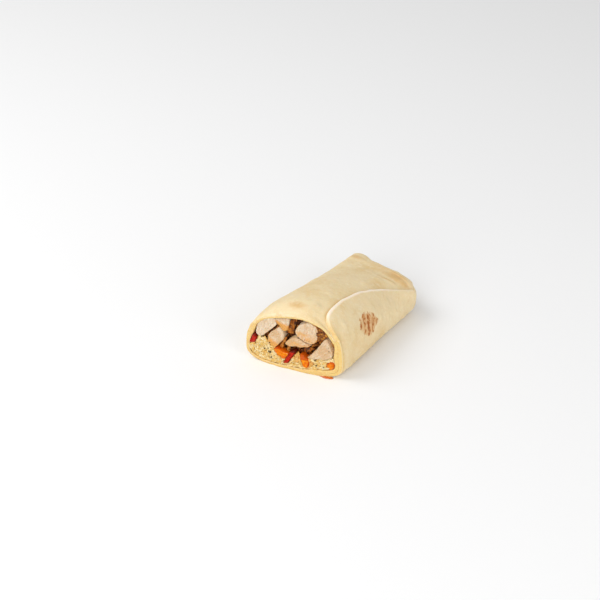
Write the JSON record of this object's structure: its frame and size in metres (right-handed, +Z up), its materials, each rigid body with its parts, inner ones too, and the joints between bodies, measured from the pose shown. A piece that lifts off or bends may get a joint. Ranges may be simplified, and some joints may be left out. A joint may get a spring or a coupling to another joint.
{
  "type": "chicken wrap",
  "caption": "Half of a rolled flour tortilla wrap, cut on a slant, filled with chicken, peppers, fried onion and rice, its far end tucked in.",
  "frame": {"origin": "middle of the wrap's box, on the surface it rests on", "axes": "+Y along the wrap from the cut to the tucked end, +Z up, +X to the right seen from the cut, the side where the free edge of the roll lies"},
  "size_m": [0.0627, 0.1106, 0.0433],
  "materials": {
    "tortilla": "floury matte flatbread with a few toasted marks",
    "chicken": "cooked meat, pale at the cut and browned at its edges",
    "onion": "fried brown, wet with sauce",
    "pepper_red": "soft cooked pepper, glossy",
    "pepper_orange": "soft cooked pepper, glossy",
    "rice": "cooked grains, slightly moist"
  },
  "bodies": {
    "root": {"tortilla": "tortilla", "chicken_1": "chicken", "chicken_2": "chicken", "chicken_3": "chicken", "chicken_4": "chicken", "chicken_5": "chicken", "chicken_6": "chicken", "chicken_7": "chicken", "onion_1": "onion", "onion_2": "onion", "onion_3": "onion", "onion_mix": "onion", "pepper_red_1": "pepper_red", "pepper_red_2": "pepper_red", "pepper_orange_1": "pepper_orange", "pepper_orange_2": "pepper_orange", "pepper_orange_3": "pepper_orange", "rice_bed": "rice"}
  },
  "joints": []
}
